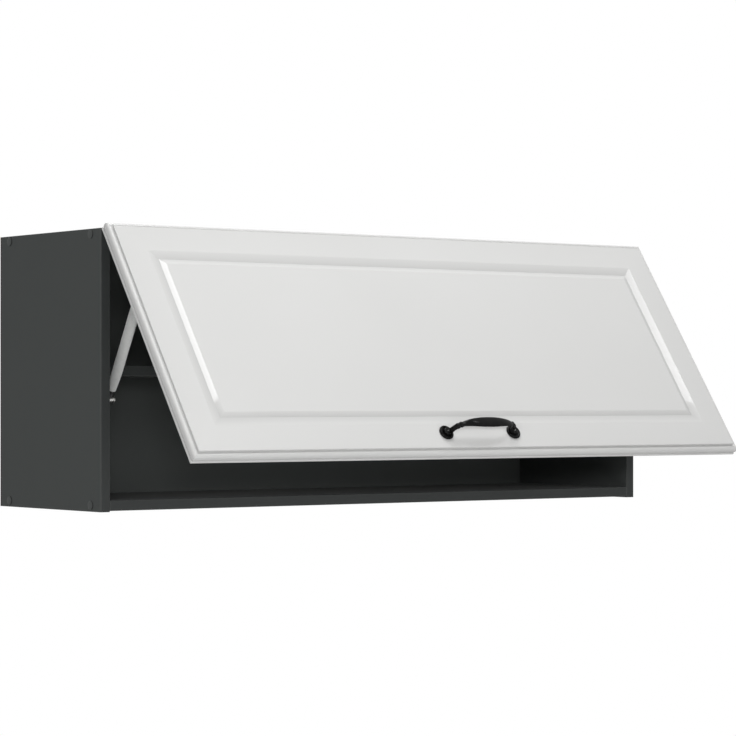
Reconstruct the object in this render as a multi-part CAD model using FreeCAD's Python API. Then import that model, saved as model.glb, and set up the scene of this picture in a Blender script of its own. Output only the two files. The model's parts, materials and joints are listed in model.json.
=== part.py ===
# Wall cabinet with a top-hung flap door, held open by two gas struts.
# Millimetres. X runs along the width, the front faces -Y, +Z is up.
# The wall is the plane y = 0 and the origin lies midway between the two wall screws.
import math
import os

import FreeCAD
import Part

V = FreeCAD.Vector
ALONG_X = V(1, 0, 0)
ALONG_Y = V(0, 1, 0)

# Carcass sizes
width = 1000.0
height = 398.0
depth = 287.0
board = 15.0
band = 2.0
band_round = 1.0
bottom_recess = 1.5
hang_drop = 50.0
hang_inset = 85.0
wall_hole_r = 3.5
rail_height = 90.0
rail_dowel_inset = 22.5
back_thick = 3.0
back_groove = 6.0
back_play = 0.5

# Joinery sizes
screw_setback = 28.0
confirmat_r = 3.5
confirmat_length = 50.0
confirmat_head_r = 5.0
confirmat_head = 4.0
head_sink = 0.3
hex_r = 2.2
hex_deep = 2.6
cap_r = 6.5
cap_thick = 1.4
cap_stem_r = 2.0
dowel_r = 4.0
dowel_length = 30.0
dowel_in_side = 10.0
pilot_play = 0.03
hole_play = 0.05

# Shelf sizes
shelf_setback = 78.0
shelf_play = 0.5
pin_r = 2.5
pin_in = 8.0
pin_out = 8.0
pin_pitch = 32.0
pin_margin = 35.0

# Door sizes
door_thick = 18.0
door_gap = 0.6
door_drop = 0.2
door_rise = 0.6
door_side_play = 0.5
door_angle = 35.0
face_step = 2.0
bead_r = 6.5
step_inset = 7.8
groove_inset = 49.5
groove_outer = 14.0
groove_inner = 8.5
groove_deep = 2.5

# Hinge sizes
hinge_inset = 105.0
hinge_sink = 1.2
hinge_proud = 0.2
leaf_length = 50.0
knuckles = 3
leaf_thick = 1.0
fixed_leaf_height = 13.5
moving_leaf_height = 26.0
knuckle_r = 2.25
hinge_pin_r = 1.25
knuckle_play = 0.3
leaf_play = 0.25
hinge_screw_r = 1.5
hinge_screw_head_r = 2.75
hinge_screw_pitch = 17.0
fixed_screw_drop = 8.4
moving_screw_drop = 15.6
fixed_screw_length = 16.0
moving_screw_length = 12.0

# Strut sizes
strut_inset = 44.0
foot_setback = 75.0
foot_below_shelf = 32.9
stud_drop = 67.5
stud_standoff = 22.0
eye_r = 4.8
eye_width = 10.0
foot_pin_r = 3.0
neck_r = 4.5
neck_end = 14.6
tube_r = 7.0
tube_bore_r = 6.0
rod_reach = 44.5
tube_floor = 2.0
crimp_from_top = 34.0
crimp_deep = 0.5
crimp_wide = 2.0
guide_length = 8.0
guide_rim = 1.2
rod_r = 3.0
piston_r = 5.9
piston_length = 8.0
piston_below_guide = 44.0
rod_end_r = 6.0
rod_end_width = 9.0
rod_end_stem_r = 4.2
rod_end_stem = 14.0
stud_out = 2.75
stud_flange_r = 8.0
stud_flange = 1.5
plate_play = 0.3
plate_thick = 2.0
plate_reach = 48.0
plate_above = 14.0
plate_below = 26.0
plate_foot = 24.0
plate_round = 9.0
foot_plate_deep = 24.0
foot_plate_tall = 42.0
foot_screw_pitch = 29.0
foot_post_r = 4.5
clip_r = 6.0
clip_thick = 1.4
wood_screw_r = 1.75
wood_screw_head_r = 3.6
wood_screw_head = 2.0
wood_screw_length = 12.0

# Handle and small door parts
handle_spacing = 124.0
handle_rise = 33.2
handle_reach = 27.7
handle_root = 5.6
handle_power = 3.7
handle_foot_r = 11.2
handle_foot = 3.0
handle_collar_r = 8.2
handle_collar = 4.0
grip_end = 45.0
grip_half_wide = 9.3
grip_half_thin = 3.0
arm_half_wide = 3.6
arm_half_thin = 3.4
arm_flare = 2.7
arm_flare_length = 8.5
handle_screw_r = 2.0
handle_screw_head_r = 4.0
handle_screw_head = 2.5
handle_screw_bite = 6.5
handle_ring_r = 3.4
handle_ring_bead = 1.4
bumper_r = 4.5
bumper_thick = 0.5
bumper_margin = 6.5

half = width / 2
inner = half - board
front = -depth
core_front = front + band
top = hang_drop
low = top - height
top_under = top - board
bottom_under = low + bottom_recess
bottom_top = bottom_under + board
back_rear = -board
back_front = back_rear - back_thick
mid_top = top - board / 2
mid_bottom = bottom_under + board / 2
shelf_mid = low + height / 2
shelf_under = shelf_mid - board / 2
shelf_front = front + shelf_setback
shelf_rear = back_front - shelf_play
door_width = width - 2 * door_side_play
door_height = height - hinge_sink - door_drop - door_rise
axis_y = front - hinge_proud
axis_z = top - hinge_sink
door_back = front - door_gap
door_face = door_back - door_thick
door_top = axis_z - door_drop
door_low = door_top - door_height
strut_x = inner - strut_inset
foot_y = front + foot_setback
foot_z = shelf_under - foot_below_shelf
handle_z = door_low + handle_rise
screw_rows = (front + screw_setback, -screw_setback)
dowel_y = -depth / 2
pin_rows = (shelf_front + pin_margin, shelf_rear - pin_margin)
pin_z = shelf_under - pin_r
hinge_out = inner - hinge_inset
hinge_places = (("left", -hinge_out), ("middle", 0.0), ("right", hinge_out))
sides = (("left", -1), ("right", 1))
rail_dowel_z = (top_under - rail_dowel_inset, top_under - rail_height + rail_dowel_inset)


def block(x0, x1, y0, y1, z0, z1):
    """Box between two corners given in any order."""
    corner = V(min(x0, x1), min(y0, y1), min(z0, z1))
    return Part.makeBox(abs(x1 - x0), abs(y1 - y0), abs(z1 - z0), corner)


def bar_x(x0, x1, y, z, r):
    """Round bar along X."""
    return Part.makeCylinder(r, abs(x1 - x0), V(min(x0, x1), y, z), ALONG_X)


def bar_y(y0, y1, x, z, r):
    """Round bar along Y."""
    return Part.makeCylinder(r, abs(y1 - y0), V(x, min(y0, y1), z), ALONG_Y)


def cone_y(y0, y1, x, z, r0, r1):
    """Cone along Y from radius r0 at y0 to radius r1 at y1."""
    way = ALONG_Y if y1 > y0 else -ALONG_Y
    return Part.makeCone(r0, r1, abs(y1 - y0), V(x, y0, z), way)


def edge_strip(x0, x1, y, z0, z1):
    """Front edge band of a board, with its two long front arrises rounded."""
    strip = block(x0, x1, y, y + band, z0, z1)
    arrises = [e for e in strip.Edges if e.CenterOfMass.y < y + band / 2 and e.Length > 2 * board]
    return strip.makeFillet(band_round, arrises)


def open_door(shape):
    """Turn a shape that was built with the door shut into the open pose."""
    turned = shape.copy()
    turned.rotate(V(0, axis_y, axis_z), ALONG_X, -door_angle)
    return turned


def save(name, shapes):
    """Write one node: a single solid or a group of solids."""
    solids = []
    for shape in shapes:
        solids += shape.removeSplitter().Solids
    result = solids[0] if len(solids) == 1 else Part.makeCompound(solids)
    result.exportStep("parts/" + name + ".step")


os.makedirs("parts", exist_ok=True)

# Strut line in the open pose: foot pivot, stud pivot and the direction between them
turn = math.radians(door_angle)
arm_y = door_back + stud_standoff - axis_y
arm_z = -stud_drop
stud_y = axis_y + arm_y * math.cos(turn) + arm_z * math.sin(turn)
stud_z = axis_z - arm_y * math.sin(turn) + arm_z * math.cos(turn)
strut_length = math.hypot(stud_y - foot_y, stud_z - foot_z)
strut_lean = math.degrees(math.atan2(foot_y - stud_y, stud_z - foot_z))


def along_strut(shape, x):
    """Move a shape built up +Z from the foot pivot onto the strut's line at this x."""
    placed = shape.copy()
    placed.rotate(V(0, 0, 0), ALONG_X, strut_lean)
    placed.translate(V(x, foot_y, foot_z))
    return placed


def tube_piece(r, u0, u1):
    """Round bar up +Z between two distances from the foot pivot."""
    return Part.makeCylinder(r, u1 - u0, V(0, 0, u0))


# Side panels: drilled for the confirmats, dowels, shelf pins and strut feet, grooved for the back
confirmats = []
caps = []
dowels = []
pins = []
feet_screws = []
for side, s in sides:
    panel = block(s * inner, s * half, core_front, 0, low, top)
    panel = panel.cut(block(s * inner, s * (inner + back_groove), back_front - hole_play, back_rear,
                            bottom_top - back_groove, top_under + back_groove))
    head_floor = half - head_sink - confirmat_head
    for y in screw_rows:
        for z in (mid_top, mid_bottom):
            panel = panel.cut(bar_x(s * half, s * head_floor, y, z, confirmat_head_r + hole_play))
            panel = panel.cut(bar_x(s * half, s * inner, y, z, confirmat_r + hole_play))
            head_top = head_floor + confirmat_head
            screw = bar_x(s * head_floor, s * head_top, y, z, confirmat_head_r)
            screw = screw.fuse(bar_x(s * head_top, s * (head_top - confirmat_length), y, z, confirmat_r))
            screw = screw.cut(bar_x(s * head_top, s * (head_top - hex_deep), y, z, hex_r))
            confirmats.append(screw)
            cap = Part.makeCone(cap_r, cap_r - cap_thick, cap_thick, V(s * half, y, z), V(s, 0, 0))
            cap = cap.fuse(bar_x(s * half, s * (head_top - hex_deep), y, z, cap_stem_r))
            caps.append(cap)
    for z in (mid_top, mid_bottom):
        panel = panel.cut(bar_x(s * inner, s * (inner + dowel_in_side), dowel_y, z, dowel_r + pilot_play))
        dowels.append(bar_x(s * (inner + dowel_in_side), s * (inner + dowel_in_side - dowel_length),
                            dowel_y, z, dowel_r))
    for z in rail_dowel_z:
        panel = panel.cut(bar_x(s * inner, s * (inner + dowel_in_side), -board / 2, z, dowel_r + pilot_play))
        dowels.append(bar_x(s * (inner + dowel_in_side), s * (inner + dowel_in_side - dowel_length),
                            -board / 2, z, dowel_r))
    for y in pin_rows:
        for step in (-1, 0, 1):
            panel = panel.cut(bar_x(s * inner, s * (inner + pin_in), y, pin_z + step * pin_pitch,
                                    pin_r + pilot_play))
        pins.append(bar_x(s * (inner + pin_in), s * (inner - pin_out), y, pin_z, pin_r))
    for end in (-1, 1):
        z = foot_z + end * foot_screw_pitch / 2
        plate_skin = inner - plate_thick
        panel = panel.cut(bar_x(s * inner, s * (plate_skin + wood_screw_length + pilot_play), foot_y, z,
                                wood_screw_r + pilot_play))
        screw = bar_x(s * plate_skin, s * (plate_skin - wood_screw_head), foot_y, z, wood_screw_head_r)
        screw = screw.fuse(bar_x(s * plate_skin, s * (plate_skin + wood_screw_length), foot_y, z, wood_screw_r))
        feet_screws.append(screw)
    save(side + "_side_panel", [panel])
    save(side + "_side_edge_band", [edge_strip(s * inner, s * half, front, low, top)])

save("confirmat_screws", confirmats)
save("screw_caps", caps)
save("dowels", dowels)
save("shelf_pins", pins)

# Top panel and its edge band, cut out for the three hinges
leaf_half = leaf_length / 2
cut_half = leaf_half + leaf_play
top_panel = block(-inner, inner, core_front, 0, top_under, top)
top_panel = top_panel.cut(block(-inner, inner, back_front - hole_play, back_rear,
                                top_under, top_under + back_groove))
top_band = edge_strip(-inner, inner, front, top_under, top)
bottom_panel = block(-inner, inner, core_front, 0, bottom_under, bottom_top)
bottom_panel = bottom_panel.cut(block(-inner, inner, back_front - hole_play, back_rear,
                                      bottom_top - back_groove, bottom_top))
screw_tip = half - head_sink - confirmat_length - hole_play
dowel_tip = inner + dowel_in_side - dowel_length - hole_play
for side, s in sides:
    for y in screw_rows:
        top_panel = top_panel.cut(bar_x(s * inner, s * screw_tip, y, mid_top, confirmat_r + pilot_play))
        bottom_panel = bottom_panel.cut(bar_x(s * inner, s * screw_tip, y, mid_bottom, confirmat_r + pilot_play))
    top_panel = top_panel.cut(bar_x(s * inner, s * dowel_tip, dowel_y, mid_top, dowel_r + pilot_play))
    bottom_panel = bottom_panel.cut(bar_x(s * inner, s * dowel_tip, dowel_y, mid_bottom, dowel_r + pilot_play))
fixed_screw_z = top - fixed_screw_drop
moving_screw_z = top - moving_screw_drop
leaf_skin = front + leaf_thick
split = leaf_length / knuckles / 2
knuckle_room = knuckle_r + leaf_play
fixed_screws = []
moving_screws = []
hinge_pins = []
for place, x in hinge_places:
    notch = block(x - cut_half, x + cut_half, front, axis_y + knuckle_room, axis_z - knuckle_room, top)
    top_band = top_band.cut(notch)
    top_band = top_band.cut(block(x - cut_half, x + cut_half, front, leaf_skin,
                                  top - fixed_leaf_height - leaf_play, top))
    top_panel = top_panel.cut(notch)
    # Fixed leaf: plate flush in the edge band, outer two knuckles, three countersunk screws
    plate_top = axis_z - knuckle_room - knuckle_play
    leaf = block(x - leaf_half, x + leaf_half, front, leaf_skin, top - fixed_leaf_height, plate_top)
    for end in (-1, 1):
        x0 = x + end * (split + knuckle_play / 2)
        x1 = x + end * leaf_half
        leaf = leaf.fuse(block(x0, x1, front, leaf_skin, plate_top, axis_z))
        leaf = leaf.fuse(bar_x(x0, x1, axis_y, axis_z, knuckle_r))
    leaf = leaf.cut(bar_x(x - leaf_half, x + leaf_half, axis_y, axis_z, hinge_pin_r))
    # Moving leaf: mirror image with the middle knuckle, let into the door's inner face
    wing = block(x - leaf_half, x + leaf_half, door_back, door_back - leaf_thick,
                 top - moving_leaf_height, plate_top)
    x0 = x - split + knuckle_play / 2
    x1 = x + split - knuckle_play / 2
    wing = wing.fuse(block(x0, x1, door_back, door_back - leaf_thick, plate_top, axis_z))
    wing = wing.fuse(bar_x(x0, x1, axis_y, axis_z, knuckle_r))
    wing = wing.cut(bar_x(x - leaf_half, x + leaf_half, axis_y, axis_z, hinge_pin_r + pilot_play))
    for step in (-1, 0, 1):
        sx = x + step * hinge_screw_pitch
        hole = cone_y(front, leaf_skin, sx, fixed_screw_z, hinge_screw_head_r, hinge_screw_r)
        leaf = leaf.cut(hole)
        fixed_screws.append(hole.fuse(bar_y(leaf_skin, front + fixed_screw_length, sx, fixed_screw_z,
                                            hinge_screw_r)))
        pilot = bar_y(leaf_skin, front + fixed_screw_length + pilot_play, sx, fixed_screw_z,
                      hinge_screw_r + pilot_play)
        top_band = top_band.cut(pilot)
        top_panel = top_panel.cut(pilot)
        hole = cone_y(door_back, door_back - leaf_thick, sx, moving_screw_z, hinge_screw_head_r, hinge_screw_r)
        wing = wing.cut(hole)
        moving_screws.append(hole.fuse(bar_y(door_back - leaf_thick, door_back - moving_screw_length, sx,
                                             moving_screw_z, hinge_screw_r)))
    hinge_pins.append(bar_x(x - leaf_half, x + leaf_half, axis_y, axis_z, hinge_pin_r))
    save("hinge_fixed_leaf_" + place, [leaf])
    save("hinge_moving_leaf_" + place, [open_door(wing)])
save("top_panel", [top_panel])
save("top_edge_band", [top_band])
save("bottom_panel", [bottom_panel])
save("bottom_edge_band", [edge_strip(-inner, inner, front, bottom_under, bottom_top)])
save("hinge_pins", hinge_pins)
save("hinge_fixed_screws", fixed_screws)
save("hinge_moving_screws", [open_door(screw) for screw in moving_screws])

# Hardboard back in its groove and the hanging rail behind it, both drilled for the wall screws
back_edge = inner + back_groove - back_play
back = block(-back_edge, back_edge, back_front, back_rear,
             bottom_top - back_groove + back_play, top_under + back_groove - back_play)
rail = block(-inner, inner, back_rear, 0, top_under - rail_height, top_under)
for side, s in sides:
    hole = bar_y(back_front, 0, s * (inner - hang_inset), 0, wall_hole_r)
    back = back.cut(hole)
    rail = rail.cut(hole)
    for z in rail_dowel_z:
        rail = rail.cut(bar_x(s * inner, s * dowel_tip, -board / 2, z, dowel_r + pilot_play))
save("back_panel", [back])
save("hanging_rail", [rail])

# Shelf on its pins, with an edge band at the front
shelf_half = inner - shelf_play
save("shelf", [block(-shelf_half, shelf_half, shelf_front + band, shelf_rear, shelf_under, shelf_under + board)])
save("shelf_edge_band", [edge_strip(-shelf_half, shelf_half, shelf_front, shelf_under, shelf_under + board)])

# Struts: the foot on the side panel, the tube that swings on it and the rod that slides in the tube
clips = []
plate_screws = []
plate_x = strut_x - rod_end_width / 2 - stud_out - plate_play
for side, s in sides:
    skin = inner - plate_thick
    shoulder = strut_x + eye_width / 2 + hole_play
    pin_end = strut_x - eye_width / 2 - hole_play - clip_thick
    foot = block(s * inner, s * skin, foot_y - foot_plate_deep / 2, foot_y + foot_plate_deep / 2,
                 foot_z - foot_plate_tall / 2, foot_z + foot_plate_tall / 2)
    foot = foot.fuse(bar_x(s * skin, s * shoulder, foot_y, foot_z, foot_post_r))
    foot = foot.fuse(bar_x(s * shoulder, s * pin_end, foot_y, foot_z, foot_pin_r))
    for end in (-1, 1):
        foot = foot.cut(bar_x(s * inner, s * skin, foot_y, foot_z + end * foot_screw_pitch / 2,
                              wood_screw_r + hole_play))
    save("strut_foot_" + side, [foot])
    clip = bar_x(s * pin_end, s * (pin_end + clip_thick), foot_y, foot_z, clip_r)
    clips.append(clip.cut(bar_x(s * pin_end, s * (pin_end + clip_thick), foot_y, foot_z, foot_pin_r)))

    eye = Part.makeCylinder(eye_r, eye_width, V(-eye_width / 2, 0, 0), ALONG_X)
    neck = tube_piece(neck_r, foot_pin_r, neck_end).cut(eye)
    eye = eye.cut(Part.makeCylinder(foot_pin_r + hole_play, eye_width, V(-eye_width / 2, 0, 0), ALONG_X))
    tube_top = strut_length - rod_reach
    guide_foot = tube_top - guide_length
    tube = tube_piece(tube_r, neck_end, tube_top).cut(tube_piece(tube_bore_r, neck_end + tube_floor, tube_top))
    crimp = tube_top - crimp_from_top
    ring = tube_piece(tube_r + crimp_deep, crimp, crimp + crimp_wide)
    tube = tube.cut(ring.cut(tube_piece(tube_r - crimp_deep, crimp, crimp + crimp_wide)))
    guide = tube_piece(tube_bore_r, guide_foot, tube_top)
    guide = guide.fuse(tube_piece(tube_r - crimp_deep, tube_top, tube_top + guide_rim))
    guide = guide.cut(tube_piece(rod_r + hole_play, guide_foot, tube_top + guide_rim))
    save("strut_eye_" + side, [along_strut(eye, s * strut_x)])
    save("strut_neck_" + side, [along_strut(neck, s * strut_x)])
    save("strut_tube_" + side, [along_strut(tube, s * strut_x)])
    save("strut_guide_" + side, [along_strut(guide, s * strut_x)])

    piston_top = guide_foot - piston_below_guide
    stem_foot = strut_length - rod_end_stem
    rod = tube_piece(rod_r, piston_top, stem_foot + rod_r)
    piston = tube_piece(piston_r, piston_top - piston_length, piston_top)
    rod_end = Part.makeCylinder(rod_end_r, rod_end_width, V(-rod_end_width / 2, 0, strut_length), ALONG_X)
    rod_end = rod_end.fuse(tube_piece(rod_end_stem_r, stem_foot, strut_length))
    rod_end = rod_end.cut(tube_piece(rod_r, stem_foot, stem_foot + rod_r))
    stud_way = V(-s, 0, 0)
    stud_root = V(s * rod_end_width / 2, 0, strut_length)
    stud_reach = rod_end_width + stud_out
    flange_root = V(-s * (stud_reach - rod_end_width / 2 - stud_flange), 0, strut_length)
    rod_end = rod_end.cut(Part.makeCylinder(foot_pin_r, stud_reach, stud_root, stud_way))
    stud = Part.makeCylinder(foot_pin_r, stud_reach, stud_root, stud_way)
    stud = stud.fuse(Part.makeCylinder(stud_flange_r, stud_flange, flange_root, stud_way))
    save("strut_rod_" + side, [along_strut(rod, s * strut_x)])
    save("strut_piston_" + side, [along_strut(piston, s * strut_x)])
    save("strut_rod_end_" + side, [along_strut(rod_end, s * strut_x)])
    save("strut_stud_" + side, [along_strut(stud, s * strut_x)])

    # Plate on the door: an upright beside the stud and a foot screwed to the door's inner face
    stud_at = axis_z - stud_drop
    upright = block(s * plate_x, s * (plate_x - plate_thick), door_back, door_back + plate_reach,
                    stud_at - plate_below, stud_at + plate_above)
    corners = [e for e in upright.Edges if e.CenterOfMass.y > door_back + plate_reach - plate_thick
               and e.Length < plate_thick * 1.5]
    upright = upright.makeFillet(plate_round, corners)
    plate = upright.fuse(block(s * plate_x, s * (plate_x - plate_foot), door_back, door_back + plate_thick,
                               stud_at - plate_below, stud_at + plate_above))
    screw_x = s * (plate_x - plate_foot / 2 - plate_thick / 2)
    for z in (stud_at - plate_below + plate_round, stud_at + plate_above - plate_round):
        plate = plate.cut(bar_y(door_back, door_back + plate_thick, screw_x, z, wood_screw_r + hole_play))
        skin_y = door_back + plate_thick
        screw = bar_y(skin_y, skin_y + wood_screw_head, screw_x, z, wood_screw_head_r)
        plate_screws.append(screw.fuse(bar_y(skin_y, skin_y - wood_screw_length, screw_x, z, wood_screw_r)))
    save("strut_plate_" + side, [open_door(plate)])
save("strut_foot_screws", feet_screws)
save("strut_clips", clips)
save("strut_plate_screws", [open_door(screw) for screw in plate_screws])


def rectangle(inset, y):
    """Closed wire of the door's outline, drawn in by the inset, at this y."""
    x = door_width / 2 - inset
    z0 = door_low + inset
    z1 = door_top - inset
    return Part.makePolygon([V(-x, y, z0), V(x, y, z0), V(x, y, z1), V(-x, y, z1), V(-x, y, z0)])


# Door panel: slab with a rounded front edge, a raised face and one mitred groove all round
ledge = door_face + face_step
slab = block(-door_width / 2, door_width / 2, door_back, ledge, door_low, door_top)
rims = [e for e in slab.Edges if abs(e.CenterOfMass.y - ledge) < face_step / 2]
slab = slab.makeFillet(bead_r, rims)
raised = block(-door_width / 2 + step_inset, door_width / 2 - step_inset, ledge, door_face,
               door_low + step_inset, door_top - step_inset)
door = slab.fuse(raised)
groove_floor = door_face + groove_deep
funnel = Part.makeLoft([rectangle(groove_inset, door_face),
                        rectangle(groove_inset + groove_outer, groove_floor)], True, True)
island = Part.makeLoft([rectangle(groove_inset + groove_outer + groove_inner, door_face),
                        rectangle(groove_inset + groove_outer, groove_floor)], True, True)
door = door.cut(funnel.cut(island))
for place, x in hinge_places:
    door = door.cut(block(x - cut_half, x + cut_half, door_back, door_back - leaf_thick,
                          top - moving_leaf_height, door_top))
    door = door.cut(block(x - cut_half, x + cut_half, door_back, axis_y - knuckle_room,
                          axis_z - knuckle_room, door_top))
    for step in (-1, 0, 1):
        door = door.cut(bar_y(door_back, door_back - moving_screw_length - pilot_play,
                              x + step * hinge_screw_pitch, moving_screw_z, hinge_screw_r + pilot_play))
stud_at = axis_z - stud_drop
for side, s in sides:
    screw_x = s * (plate_x - plate_foot / 2 - plate_thick / 2)
    for z in (stud_at - plate_below + plate_round, stud_at + plate_above - plate_round):
        door = door.cut(bar_y(door_back, door_back + plate_thick - wood_screw_length - pilot_play, screw_x, z,
                              wood_screw_r + pilot_play))
    door = door.cut(bar_y(door_back, door_face, s * handle_spacing / 2, handle_z, handle_screw_r + hole_play))
save("door_panel", [open_door(door)])

# Handle: a flat-topped bow whose grip widens in the middle, on two stepped round feet
handle_half = handle_spacing / 2
bow_rise = handle_reach - handle_root


def bow_at(x):
    """Point of the bow's middle line over this x, and the direction of the line there."""
    share = abs(x) / handle_half
    climb = math.copysign(bow_rise * handle_power * share ** (handle_power - 1) / handle_half, x)
    point = V(x, door_face - handle_root - bow_rise * (1 - share ** handle_power), handle_z)
    return point, V(1, climb, 0).normalize()


sections = []
stations = 28
for i in range(stations + 1):
    x = -handle_half * math.cos(math.pi * i / stations)
    centre, path = bow_at(x)
    across = V(path.y, -path.x, 0)
    swell = max(0.0, 1 - (x / grip_end) ** 2)
    flare = math.exp(-((handle_half - abs(x)) / arm_flare_length) ** 2)
    wide = arm_half_wide + (grip_half_wide - arm_half_wide) * swell + arm_flare * flare
    thin = arm_half_thin + (grip_half_thin - arm_half_thin) * swell + arm_flare * flare / 2
    oval = Part.Ellipse(centre + V(0, 0, wide), centre + across * thin, centre)
    sections.append(Part.Wire([oval.toShape()]))
handle = Part.makeLoft(sections, True, False)
handle_screws = []
for side, s in sides:
    ring_centre, ring_way = bow_at(s * grip_end)
    handle = handle.fuse(Part.makeTorus(handle_ring_r, handle_ring_bead, ring_centre, ring_way))
    x = s * handle_half
    handle = handle.fuse(bar_y(door_face, door_face - handle_foot, x, handle_z, handle_foot_r))
    handle = handle.fuse(bar_y(door_face - handle_foot, door_face - handle_foot - handle_collar, x, handle_z,
                               handle_collar_r))
    handle = handle.cut(bar_y(door_face, door_face - handle_screw_bite, x, handle_z, handle_screw_r))
    screw = bar_y(door_back, door_back + handle_screw_head, x, handle_z, handle_screw_head_r)
    handle_screws.append(screw.fuse(bar_y(door_back, door_face - handle_screw_bite, x, handle_z, handle_screw_r)))
save("handle", [open_door(handle)])
save("handle_screws", [open_door(screw) for screw in handle_screws])

# Bumpers: two soft dots on the door's inner face that meet the side panels' front edges
bumpers = []
for side, s in sides:
    bumpers.append(bar_y(door_back, door_back + bumper_thick, s * (door_width / 2 - bumper_margin),
                         door_low + handle_rise, bumper_r))
save("door_bumpers", [open_door(bumper) for bumper in bumpers])
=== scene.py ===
# Wall cabinet with a top-hung flap door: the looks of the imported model, in metres and in its frame.
import json
import math

import bmesh
import bpy
import numpy as np
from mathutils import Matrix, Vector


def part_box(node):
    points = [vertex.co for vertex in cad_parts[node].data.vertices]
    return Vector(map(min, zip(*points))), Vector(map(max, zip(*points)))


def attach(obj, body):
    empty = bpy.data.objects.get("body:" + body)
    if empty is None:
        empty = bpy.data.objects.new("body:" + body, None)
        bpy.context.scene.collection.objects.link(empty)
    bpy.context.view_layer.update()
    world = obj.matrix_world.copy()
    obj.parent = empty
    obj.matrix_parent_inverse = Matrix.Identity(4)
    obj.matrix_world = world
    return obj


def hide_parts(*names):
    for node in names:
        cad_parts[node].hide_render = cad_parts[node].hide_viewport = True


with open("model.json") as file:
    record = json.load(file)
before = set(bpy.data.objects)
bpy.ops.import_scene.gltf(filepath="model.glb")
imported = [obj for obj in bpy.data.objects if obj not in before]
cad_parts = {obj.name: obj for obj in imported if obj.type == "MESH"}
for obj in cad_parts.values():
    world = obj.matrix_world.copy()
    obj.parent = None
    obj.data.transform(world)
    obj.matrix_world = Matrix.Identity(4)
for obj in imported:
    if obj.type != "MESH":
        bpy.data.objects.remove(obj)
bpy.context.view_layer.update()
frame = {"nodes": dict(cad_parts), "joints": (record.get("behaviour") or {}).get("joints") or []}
nodes = frame["nodes"]
joints = {joint["name"]: joint for joint in frame["joints"]}


# Carcass boards: sides, top, bottom and shelf of 15 mm melamine-faced chipboard, matt anthracite.
# The faces carry a fine pressed pore. Sawn rear edges, grooves and drilled holes show the chips.
# The boards are butted, dowelled and screwed through the sides. A film of dust lies on the bottom.
noise_low = 0.3
noise_high = 0.7
cut_from = 0.0002
cut_full = 0.0003


def feed(tree, socket, term):
    """Link an output to this input, or set the input to a plain value."""
    if isinstance(term, bpy.types.NodeSocket):
        tree.links.new(term, socket)
    else:
        socket.default_value = term


def node(tree, kind, **terms):
    """Add a shader node. A term named like a property sets it, and any other feeds that input."""
    made = tree.nodes.new("ShaderNode" + kind)
    settings = [name for name in terms if hasattr(made, name)]
    for name in settings:
        setattr(made, name, terms[name])
    for name in terms.keys() - set(settings):
        feed(tree, made.inputs[name.replace("_", " ")], terms[name])
    return made


def calc(tree, operation, *terms):
    """One Math node on sockets or numbers; gives back its result."""
    made = node(tree, "Math", operation=operation)
    for socket, term in zip(made.inputs, terms):
        feed(tree, socket, term)
    return made.outputs[0]


def vector_calc(tree, operation, *terms):
    """One Vector Math node on sockets or triples; gives back its vector."""
    made = node(tree, "VectorMath", operation=operation)
    for socket, term in zip(made.inputs, terms):
        feed(tree, socket, term)
    return made.outputs["Vector"]


def ramp(tree, value, low, high, to_low=0.0, to_high=1.0):
    """Straight ramp of a value between two limits, held at both ends."""
    made = node(tree, "MapRange", Value=value, From_Min=low, From_Max=high, To_Min=to_low, To_Max=to_high)
    return made.outputs["Result"]


def blend(tree, share, first, second):
    """Colour between the first (share 0) and the second (share 1)."""
    made = node(tree, "Mix", data_type="RGBA")
    for place, term in ((0, share), (6, first), (7, second)):
        feed(tree, made.inputs[place], term)
    return made.outputs[2]


def mottled(tree, noise, dark, light):
    """Colour that follows a noise through the middle of its range."""
    return blend(tree, ramp(tree, noise, noise_low, noise_high), dark, light)


def varied(tree, noise, low, high):
    """Value that follows a noise through the middle of its range."""
    return ramp(tree, noise, noise_low, noise_high, low, high)


def emboss(tree, shader, height, strength, distance):
    """Let a height bump the surface of a material."""
    bump = node(tree, "Bump", Strength=strength, Distance=distance, Height=height)
    feed(tree, shader.inputs["Normal"], bump.outputs["Normal"])


def effect(name, inputs, outputs):
    """Start a node group; gives back its tree, its inputs' sockets and its outputs' sockets."""
    tree = bpy.data.node_groups.new(name, "ShaderNodeTree")
    for way, sockets in (("INPUT", inputs), ("OUTPUT", outputs)):
        for socket, kind in sockets.items():
            tree.interface.new_socket(socket, in_out=way, socket_type="NodeSocket" + kind)
    return tree, tree.nodes.new("NodeGroupInput").outputs, tree.nodes.new("NodeGroupOutput").inputs


def finish(name, **values):
    """Start a material; gives back it, its tree, its surface shader and its Object coordinates."""
    material = bpy.data.materials.new(name)
    material.use_nodes = True
    tree = material.node_tree
    shader = tree.nodes["Principled BSDF"]
    for label, value in values.items():
        shader.inputs[label.replace("_", " ")].default_value = value
    return material, tree, shader, node(tree, "TexCoord").outputs["Object"]


def dress(material, *names):
    """Give CAD nodes this material."""
    for name in names:
        for slot in nodes[name].material_slots:
            slot.material = material


# Effect: pressed pores of a printed surface, as a tone about 0.5 and a height
pores, given, result = effect("pressed_pores", {"Vector": "Vector", "Pitch": "Float"},
                              {"Tone": "Float", "Height": "Float"})
fine = node(pores, "TexNoise", Vector=given["Vector"], Scale=given["Pitch"], Detail=3.0, Roughness=0.6)
broad = node(pores, "TexNoise", Vector=given["Vector"], Scale=9.0, Detail=2.0)
pores.links.new(calc(pores, "MULTIPLY_ADD", fine.outputs["Fac"], 0.5,
                     calc(pores, "MULTIPLY", broad.outputs["Fac"], 0.5)), result["Tone"])
pores.links.new(fine.outputs["Fac"], result["Height"])

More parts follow.
